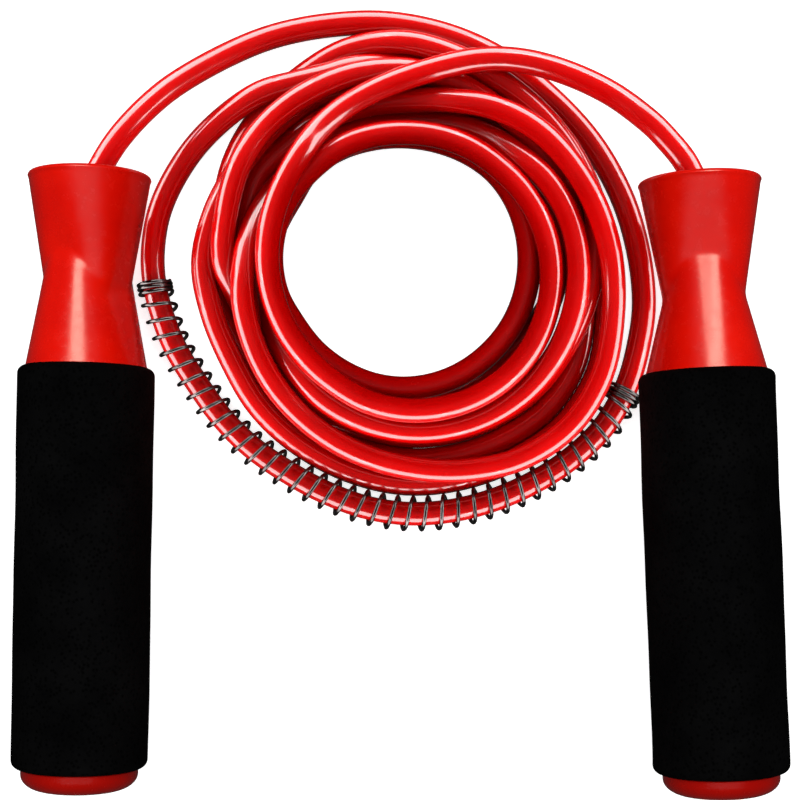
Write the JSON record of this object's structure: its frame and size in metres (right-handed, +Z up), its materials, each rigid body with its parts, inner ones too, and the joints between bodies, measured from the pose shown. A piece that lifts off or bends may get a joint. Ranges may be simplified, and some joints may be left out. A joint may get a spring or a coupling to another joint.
{
  "type": "jump rope",
  "caption": "Smooth plastic rope wound in a flat coil, with a wire spring round its middle and foam-covered handles that turn on ball bearings.",
  "frame": {"origin": "on the surface it lies on, under the middle of the box round the two handles", "axes": "+Z up from the surface; +Y along the handles, from their capped ends to their mouths; +X from the left handle to the right one"},
  "size_m": [0.1943, 0.2002, 0.034],
  "materials": {
    "red_plastic": "glossy moulded",
    "black_foam": "matte closed-cell foam",
    "black_plastic": "matte moulded",
    "red_pvc": "glossy extruded",
    "spring_steel": "dark drawn wire",
    "bearing_steel": "ground",
    "cage_brass": "pressed",
    "stop_aluminium": "crimped"
  },
  "bodies": {
    "rope": {"rope_coil": "red_pvc", "rope_lead": "red_pvc", "rope_tail": "red_pvc", "spring_protector": "spring_steel", "left_bearing_inner_race": "bearing_steel", "left_swivel_spindle": "bearing_steel", "left_thrust_washer": "bearing_steel", "left_rope_stop": "stop_aluminium", "right_bearing_inner_race": "bearing_steel", "right_swivel_spindle": "bearing_steel", "right_thrust_washer": "bearing_steel", "right_rope_stop": "stop_aluminium"},
    "left_handle": {"left_handle_core": "red_plastic", "left_foam_grip": "black_foam", "left_end_cap": "red_plastic", "left_mouth_cover": "black_plastic", "left_bearing_outer_race": "bearing_steel", "left_bearing_shields": "bearing_steel"},
    "left_cage": {"left_bearing_balls": "bearing_steel", "left_bearing_cage": "cage_brass"},
    "right_handle": {"right_handle_core": "red_plastic", "right_foam_grip": "black_foam", "right_end_cap": "red_plastic", "right_mouth_cover": "black_plastic", "right_bearing_outer_race": "bearing_steel", "right_bearing_shields": "bearing_steel"},
    "right_cage": {"right_bearing_balls": "bearing_steel", "right_bearing_cage": "cage_brass"}
  },
  "joints": [
    {"name": "left_handle_spin", "type": "hinge", "parent": "rope", "child": "left_handle", "pos_m": [-0.0776, 0.0768, 0.017], "axis": [0.0175, 0.9998, 0], "continuous": true},
    {"name": "right_handle_spin", "type": "hinge", "parent": "rope", "child": "right_handle", "pos_m": [0.0748, 0.0756, 0.017], "axis": [-0.0366, 0.9993, 0], "continuous": true},
    {"name": "left_cage_spin", "type": "hinge", "parent": "rope", "child": "left_cage", "pos_m": [-0.0776, 0.0768, 0.017], "axis": [0.0175, 0.9998, 0], "continuous": true},
    {"name": "right_cage_spin", "type": "hinge", "parent": "rope", "child": "right_cage", "pos_m": [0.0748, 0.0756, 0.017], "axis": [-0.0366, 0.9993, 0], "continuous": true}
  ],
  "couplings": [
    {"joint": "left_cage_spin", "follows": "left_handle_spin", "ratio": 0.61852},
    {"joint": "right_cage_spin", "follows": "right_handle_spin", "ratio": 0.61852}
  ]
}
